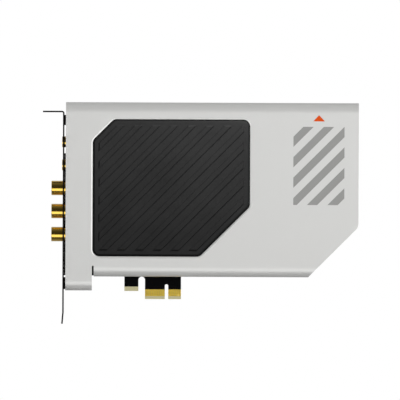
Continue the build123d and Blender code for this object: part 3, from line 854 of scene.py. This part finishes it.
def solids_of(name):
    """Lowest and highest corner of each separate solid in a CAD node, from a welded copy of its mesh."""
    shape = bmesh.new()
    shape.from_mesh(nodes[name].data)
    bmesh.ops.remove_doubles(shape, verts=shape.verts, dist=weld_distance)
    waiting = set(shape.verts)
    boxes = []
    while waiting:
        reached = [waiting.pop()]
        for vertex in reached:
            joined = {edge.other_vert(vertex) for edge in vertex.link_edges} & waiting
            waiting -= joined
            reached.extend(joined)
        spots = [tuple(vertex.co) for vertex in reached]
        boxes.append((Vector(map(min, zip(*spots))), Vector(map(max, zip(*spots)))))
    shape.free()
    return sorted(boxes, key=lambda box: (round(box[0].z, 4), round(box[0].x, 4)))


screw_sets = {name: solids_of(name) for name in ("cover_screws", "bracket_screws")}
print("screws found:", {name: len(boxes) for name, boxes in screw_sets.items()})

# %% Draw the cross
cross_reach = 1.4 * MM
cross_half_width = 0.34 * MM


def cross_points(middle, height, scale):
    """Twelve corners of a cross about a middle, at a height along Y."""
    reach = cross_reach * scale
    half = cross_half_width * scale
    points = []
    for turn in range(4):
        for across, up in ((reach, -half), (reach, half), (half, half)):
            for _ in range(turn):
                across, up = -up, across
            points.append((middle.x + across, height, middle.z + up))
    return points


print("a cross has", len(cross_points(card_middle, 0, 1)), "corners")

# %% Form the screws
screw_shank = 1.4 * MM
screw_point = 0.4 * MM
head_side = 0.6 * MM
head_flat = 1.75 * MM
dome_angles = (0, 22, 45, 68, 90)
cross_depth = 0.8 * MM
cross_taper = 0.6
off_the_back = (0, 1, 0)


def add_screw(shape, low, high):
    """A pan head screw with a cross, in the place of a plain one."""
    middle = (low + high) / 2
    radius = (high.x - low.x) / 2
    tip = low.y - board_back
    top = high.y - board_back
    outline = [(tip, 0), (tip, screw_shank - screw_point), (tip + screw_point, screw_shank)]
    outline += [(0, screw_shank), (0, radius)]
    for angle in dome_angles:
        share = math.radians(angle)
        height = head_side + (top - head_side) * math.sin(share)
        outline.append((height, head_flat + (radius - head_flat) * math.cos(share)))
    rim = spin(shape, outline, (middle.x, board_back, middle.z), off_the_back, steps=36)[-1]
    mouth = [shape.verts.new(point) for point in cross_points(middle, high.y, 1.0)]
    bottom = [shape.verts.new(point) for point in cross_points(middle, high.y - cross_depth, cross_taper)]
    borders = [shape.edges.get(pair) for pair in zip(rim, rim[1:] + rim[:1])]
    borders += [shape.edges.new(pair) for pair in zip(mouth, mouth[1:] + mouth[:1])]
    bmesh.ops.triangle_fill(shape, edges=borders, normal=off_the_back, use_beauty=True)
    bridge(shape, mouth, bottom)
    shape.faces.new(bottom)


screw_steel = finish("screw_steel", tone(52, 51, 52), 0.35, metal=1.0)
for name, boxes in screw_sets.items():
    shape = bmesh.new()
    for low, high in boxes:
        add_screw(shape, low, high)
    make_piece(f"{name}_crossed", shape, screw_steel, "screw_steel", name)

# %% [markdown]
# Pads and solder
#
# Under each screw head lies a gold plated pad that grounds the cover and the bracket. Tails and pins come
# through the board and stand in small solder cones, with sides that curve inward because the molten tin
# wets both pin and pad. Plain cones would look like beads. Both are turned forms, so the lathe makes them
# too.

# %% Lay the pads
pad_thickness = 0.035 * MM
pad_ring = 0.6 * MM


def add_ring(shape, x, z, inner, outer, thickness, steps):
    """A flat ring on the board's back."""
    outline = [(0, inner), (0, outer), (thickness, outer), (thickness, inner)]
    spin(shape, outline, (x, board_back, z), off_the_back, steps, loop=True)


shape = bmesh.new()
for low, high in screw_sets["cover_screws"] + screw_sets["bracket_screws"]:
    middle = (low + high) / 2
    radius = (high.x - low.x) / 2
    add_ring(shape, middle.x, middle.z, radius, radius + pad_ring, pad_thickness, steps=36)
make_piece("screw_pads", shape, contact_gold, "contact_gold")

# %% Solder the tails, pins and leads
solder_spread = 0.5 * MM
solder_share = 0.75
solder_steps = 5
film_lead_pitch = 5.0 * MM
film_lead_radius = 0.3 * MM
film_lead_reach = 1.2 * MM


def add_solder(shape, x, z, neck, reach):
    """A cone of solder with hollow sides round a pin that stands up from the board's back."""
    rise = reach * solder_share
    outline = [(0, 0)]
    for step in range(solder_steps + 1):
        share = step / solder_steps
        outline.append((rise * share, neck + solder_spread * (1 - share) ** 2))
    spin(shape, outline + [(rise + neck / 2, 0)], (x, board_back, z), off_the_back, steps=16)


shape = bmesh.new()
for name in ("minijack_tails", "rca_tails", "header_pins"):
    for low, high in solids_of(name):
        middle = (low + high) / 2
        half_diagonal = math.hypot(high.x - low.x, high.z - low.z) / 2
        add_solder(shape, middle.x, middle.z, half_diagonal, high.y - board_back)
film_leads = []
for name in named("film_capacitor"):
    middle = middle_of(name)
    film_leads += [(middle.x + side * film_lead_pitch / 2, middle.z) for side in (-1, 1)]
for x, z in film_leads:
    add_solder(shape, x, z, film_lead_radius, film_lead_reach)
make_piece("solder_joints", shape, tail_tin, "tail_tin")

# %% [markdown]
# Copper under the mask
#
# On the board's back the copper lines stand a hair proud under the black mask, and catch the light as
# slightly paler lines. A texture could draw them, but real lines start and end at pins and holes. So each
# one is routed as a board designer does it: straight, one 45 degree step, straight again. Lines that run
# together end their step on one line, so that they never cross.

# %% Helpers that route copper
signal_width = 0.42 * MM
power_width = 1.1 * MM
line_pitch = 0.9 * MM
hole_gap = 2.0 * MM
lines = []
holes = []


def route(start, end, turn):
    """Corners of a line that mostly runs along the first coordinate. Its 45 degree step ends at the turn."""
    step = abs(end[1] - start[1])
    sense = 1 if end[0] > start[0] else -1
    return [start, (turn - sense * step, start[1]), (turn, end[1]), end]


def swapped(points):
    """The same points with their two coordinates exchanged, for lines that mostly run upright."""
    return [(second, first) for first, second in points]


def centred(number, count, pitch):
    """Where one of several evenly spaced things stands, counted from their middle."""
    return (number - (count - 1) / 2) * pitch


print("signal lines are", signal_width / MM, "mm wide")

# %% Route the header and the bus between the chips
processor_low, processor_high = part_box("audio_processor")
converter_low, converter_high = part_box("converter_chip")
processor = middle_of("audio_processor")
converter = middle_of("converter_chip")
half_pin_pitch = 1.27 * MM
header_turn = 18 * MM
bus_width = 8
bus_shift = 2 * MM

pins = sorted(((low + high) / 2 for low, high in solids_of("header_pins")), key=lambda pin: (pin.z, -pin.x))
first_column = min(pin.x for pin in pins)
for number, pin in enumerate(pins):
    lead_in = [(pin.x, pin.z)]
    if pin.x > first_column + half_pin_pitch:
        lead_in.append((pin.x - half_pin_pitch, pin.z - half_pin_pitch))
    end = (processor_high.x + hole_gap, processor.z + centred(number, len(pins), line_pitch))
    lines.append((lead_in[:-1] + route(lead_in[-1], end, processor_high.x + header_turn), signal_width))
    holes.append(end)
for number in range(bus_width):
    level = centred(number, bus_width, line_pitch)
    start = (processor_low.x - hole_gap, processor.z + level - bus_shift)
    end = (converter_high.x + hole_gap, converter.z + level + bus_shift)
    lines.append((route(start, end, (start[0] + end[0]) / 2 - bus_shift), signal_width))
    holes += [start, end]
print(len(lines), "lines,", len(holes), "plated holes")

# %% Route the lines from the tongue
lane_count = 6
lane_turn = 8 * MM
coil_gap = 4 * MM
coil_turn = 5 * MM
tongue_top = contacts_high.z
fingers = sorted(((low + high) / 2).x for low, high in solids_of("contacts_back"))
feeds = {"inductor_left": fingers[1], "inductor_right": fingers[4]}

for number, finger in enumerate(fingers[-lane_count:]):
    end = (processor_low.z - hole_gap, processor.x + centred(number, lane_count, line_pitch))
    lines.append((swapped(route((tongue_top, finger), end, processor_low.z - lane_turn)), signal_width))
    holes += swapped([end])
for name, finger in feeds.items():
    coil = middle_of(name)
    end = (coil.z - coil_gap, coil.x)
    lines.append((swapped(route((tongue_top, finger), end, coil.z - coil_turn)), power_width))
    holes += swapped([end])
print(len(lines), "lines,", len(holes), "plated holes")

# %% Route the sound lines
amp_gap = 1.6 * MM
tail_reach = 2 * MM
tail_slack = 1 * MM
amp_lead_reach = 4 * MM

amp_side = middle_of("op_amp_upper").x + amp_lead_reach
for kind, tails, levels in (("mute_relay", "minijack_tails", ("upper", "lower")),
                            ("op_amp", "rca_tails", ("upper", "middle", "lower"))):
    ends = [(low + high) / 2 for low, high in solids_of(tails)]
    for level in levels:
        low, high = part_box(f"{kind}_{level}")
        middle = (low + high) / 2
        inner = [tail for tail in ends if low.z - tail_reach < tail.z < high.z + tail_reach]
        nearest = max(tail.x for tail in inner)
        for tail in inner:
            if tail.x > nearest - tail_slack:
                end = (low.x - amp_gap, middle.z + (tail.z - middle.z) / 2)
                lines.append((route((tail.x, tail.z), end, end[0] - tail_slack), signal_width))
                holes.append(end)
for x, z in film_leads:
    level = converter_high.z + hole_gap if z > converter.z else converter_low.z - hole_gap
    if x < middle_of("film_capacitor_upper").x:
        end = (amp_side, z)
    elif converter_low.z < z < converter_high.z:
        end = (converter_low.x - hole_gap, z)
    else:
        end = (x + abs(z - level), level)
    lines.append(([(x, z), end], signal_width))
    holes.append(end)
print(len(lines), "lines,", len(holes), "plated holes")

# %% Route the relay lines
relay_lines = 3
relay_line_gap = 3 * MM
relay_margin = 2 * MM
relay_turn = 0.5 * MM

for level, first in (("upper", relay_lines), ("lower", 0)):
    low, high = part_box(f"mute_relay_{level}")
    for number in range(relay_lines):
        shift = (first + number) * line_pitch
        start = (low.z + relay_margin + number * relay_line_gap, high.x + amp_gap + shift)
        end = (converter_high.z + hole_gap, converter.x + shift)
        lines.append((swapped(route(start, end, end[0] + relay_turn)), signal_width))
        holes += swapped([start, end])
print(len(lines), "lines,", len(holes), "plated holes")

# %% Lay the copper
copper_thickness = 0.035 * MM
shortest_run = 0.01 * MM


def strip(points, width):
    """Outline of a band of even width along a line of points."""
    spots = [Vector(points[0])]
    for before, point in zip(points, points[1:]):
        if math.dist(before, point) > shortest_run:
            spots.append(Vector(point))
    headings = [(after - before).normalized() for before, after in zip(spots, spots[1:])]
    sides = [], []
    for spot, before, after in zip(spots, headings[:1] + headings, headings + headings[-1:]):
        across = Vector((-before.y - after.y, before.x + after.x)).normalized()
        reach = width / 2 / across.dot(Vector((-before.y, before.x)))
        sides[0].append(spot + across * reach)
        sides[1].append(spot - across * reach)
    return sides[0] + sides[1][::-1]


mask_over_copper = finish("mask_over_copper", tone(34, 36, 39), 0.38, gloss=0.25, tone_shift=0.12,
                          grains=1800.0, grain_depth=0.004 * MM)
shape = bmesh.new()
for points, width in lines:
    outline = [(spot.x, board_back, spot.y) for spot in strip(points, width)]
    prism(shape, outline, (0, copper_thickness, 0))
make_piece("board_lines", shape, mask_over_copper, "board_mask")

# %% [markdown]
# Plated holes
#
# Where a line changes to the board's other side it ends at a plated hole, which shows as a small gold
# ring with a dark bore. A row of such holes along the top edge ties the ground layers together. Drilling
# the board would change its solid, and dots in its material would lie flat. A thin turned ring stands a
# hair proud and catches the light as plating does.

# %% Plate the holes
hole_ring = 0.42 * MM
hole_bore = 0.17 * MM
hole_plating = 1.5 * pad_thickness
edge_margin = 1.8 * MM
stitch_pitch = 6.0 * MM
stitch_count = int((board_high.x - board_low.x - 2 * edge_margin) / stitch_pitch)
stitches = [(board_high.x - edge_margin - number * stitch_pitch, board_high.z - edge_margin)
            for number in range(stitch_count)]
shape = bmesh.new()
for x, z in holes + stitches:
    add_ring(shape, x, z, hole_bore, hole_ring, hole_plating, steps=14)
make_piece("plated_holes", shape, contact_gold, "contact_gold")

# %% [markdown]
# Capacitor cans
#
# An electrolytic capacitor is drawn from aluminium sheet: a round shoulder on top and a groove above the
# base, where the can is crimped on its seal. A printed segment marks the negative side. A bump map could
# fake the groove, but the outline on the lathe only needs three points for it.

# %% Turn the cans
can_shoulder = 0.6 * MM
groove_at = 1.5 * MM
groove_depth = 0.3 * MM
mark_angle = 58
off_the_front = (0, -1, 0)
can_aluminium = finish("can_aluminium", tone(196, 197, 200), 0.3, metal=1.0, stretch=(0.3, 6, 0.3))
for name in named("capacitor_can"):
    low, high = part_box(name)
    middle = (low + high) / 2
    radius = (high.x - low.x) / 2
    reach = high.y - low.y
    outline = [(0, 0), (0, radius), (groove_at - groove_depth, radius), (groove_at, radius - groove_depth)]
    outline += [(groove_at + groove_depth, radius)]
    outline += arc((reach - can_shoulder, radius - can_shoulder), can_shoulder, 90, 0) + [(reach, 0)]
    turn_piece(f"{name}_crimped", name, outline, (middle.x, high.y, middle.z), off_the_front,
               can_aluminium, "can_aluminium", loop=False)
    segment = arc((middle.x, middle.z), radius - can_shoulder, 180 - mark_angle, 180 + mark_angle, points=17)
    shape = bmesh.new()
    prism(shape, [(x, low.y, z) for x, z in segment], (0, -ink_thickness, 0))
    make_piece(f"{name}_mark", shape, base_plastic, "housing_plastic")

# %% [markdown]
# Leads and end caps
#
# Chips stand on bent tin plated leads: out of the body's side, down, and flat on the board. Straight
# blocks would do from far off, but the open end of the card shows the bends. The section of one lead is
# an outline, swept by the lead's width and repeated along the side. Small resistors and capacitors have
# plated ends instead.

# %% Bend the leads
lead_thickness = 0.18 * MM
bend_share = 0.35
inner_knee_share = 0.7
inner_foot_share = 1.2
outer_foot_share = 1.5


def add_leads(shape, side, outward, count, pitch, width, height, reach):
    """A row of bent leads along one side of a chip; side is the middle of that side at the board."""
    front = Vector(off_the_front)
    along = front.cross(outward)
    bend = reach * bend_share
    section = [(-bend, height), (bend, height), (bend * outer_foot_share, lead_thickness),
               (reach, lead_thickness), (reach, 0), (bend * inner_foot_share, 0),
               (bend * inner_knee_share, height - lead_thickness), (-bend, height - lead_thickness)]
    for number in range(count):
        start = side + along * (centred(number, count, pitch) - width / 2)
        prism(shape, [start + outward * out + front * rise for out, rise in section], along * width)


right = Vector((1, 0, 0))
up = Vector((0, 0, 1))
# Chip, sides with leads, leads a side, then their pitch, width, height and reach in millimetres
lead_plans = [("audio_processor", (right, -right, up, -up), 25, 0.5, 0.24, 0.8, 1.0),
              ("op_amp", (right, -right), 4, 1.27, 0.42, 0.9, 1.0),
              ("mute_relay", (right, -right), 4, 2.2, 0.5, 1.2, 1.0),
              ("regulator", (-up,), 3, 2.3, 0.7, 0.9, 1.5),
              ("regulator", (up,), 1, 1.0, 3.0, 0.9, 1.5)]
shape = bmesh.new()
for chip, sides, count, *sizes in lead_plans:
    for name in named(chip):
        low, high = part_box(name)
        foot = Vector(((low.x + high.x) / 2, board_front, (low.z + high.z) / 2))
        for outward in sides:
            half = abs(outward.dot(high - low)) / 2
            add_leads(shape, foot + outward * half, outward, count, *[size * MM for size in sizes])
make_piece("chip_leads", shape, tail_tin, "tail_tin")

# %% Plate the ends of the chips
cap_share = 0.22
cap_skin = Vector((0.03, 0.03, 0.03)) * MM
cap_bevel = 0.04 * MM


def add_cap(shape, low, high):
    """A plated end with slightly rounded edges."""
    corners = [(low.x, low.y, low.z), (high.x, low.y, low.z),
               (high.x, low.y, high.z), (low.x, low.y, high.z)]
    start = len(shape.edges)
    prism(shape, corners, (0, high.y - low.y, 0))
    shape.edges.ensure_lookup_table()
    bmesh.ops.bevel(shape, geom=shape.edges[start:], offset=cap_bevel, segments=1, affect="EDGES")


ends = [box for name in ("chip_resistors", "chip_capacitors") for box in solids_of(name)]
ends += [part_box(name) for name in named("inductor")]
shape = bmesh.new()
for low, high in ends:
    axis = 0 if high.x - low.x >= high.z - low.z else 2
    length = (high[axis] - low[axis]) * cap_share
    for far_end in (False, True):
        cap_low, cap_high = low - cap_skin, high + cap_skin
        cap_high.y = board_front
        if far_end:
            cap_low[axis] = high[axis] - length
        else:
            cap_high[axis] = low[axis] + length
        add_cap(shape, cap_low, cap_high)
make_piece("chip_ends", shape, tail_tin, "tail_tin")

# %% [markdown]
# Header pins and clock lids
#
# The header's pins are square wire with a pyramid pressed on each end, so that a socket slides on. The
# clocks are ceramic boxes closed by a thin welded lid. The solids leave both plain. They are small, but
# open to view at the card's right end, so the pins are built again from four squares each and the lids
# from round corners.

# %% Point the header pins
pin_point = 0.5 * MM
pin_tip = 0.4
shape = bmesh.new()
for low, high in solids_of("header_pins"):
    middle = (low + high) / 2
    half = (high - low) / 2
    rings = []
    for y, scale in ((low.y, pin_tip), (low.y + pin_point, 1), (high.y - pin_point, 1), (high.y, pin_tip)):
        corners = [(middle.x + x * half.x * scale, y, middle.z + z * half.z * scale) for x, z in square]
        rings.append([shape.verts.new(corner) for corner in corners])
    for lower, upper in zip(rings, rings[1:]):
        bridge(shape, lower, upper)
    shape.faces.new(rings[0])
    shape.faces.new(rings[-1])
make_piece("header_posts", shape, contact_gold, "contact_gold", "header_pins")

# %% Weld the clock lids
lid_corner = 0.5 * MM
lid_border = 0.35 * MM
lid_inset = lid_border + lid_corner
lid_thickness = 0.1 * MM
lid_metal = finish("lid_metal", tone(214, 206, 180), 0.22, metal=1.0, tone_shift=0.05)
shape = bmesh.new()
for name in named("oscillator"):
    low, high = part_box(name)
    near, far = low.x + lid_inset, high.x - lid_inset
    bottom, top = low.z + lid_inset, high.z - lid_inset
    outline = []
    for x, z, start in ((far, top, 0), (near, top, 90), (near, bottom, 180), (far, bottom, 270)):
        outline += arc((x, z), lid_corner, start, start + 90)
    prism(shape, [(x, low.y, z) for x, z in outline], (0, -lid_thickness, 0))
make_piece("clock_lids", shape, lid_metal, "clock_metal")

# %% [markdown]
# Last count
#
# Every CAD node has to have a finish or a piece that stands for it.

# %% Check and finish
bare_nodes = sorted(set(nodes) - dressed)
print("nodes without a finish:", bare_nodes)
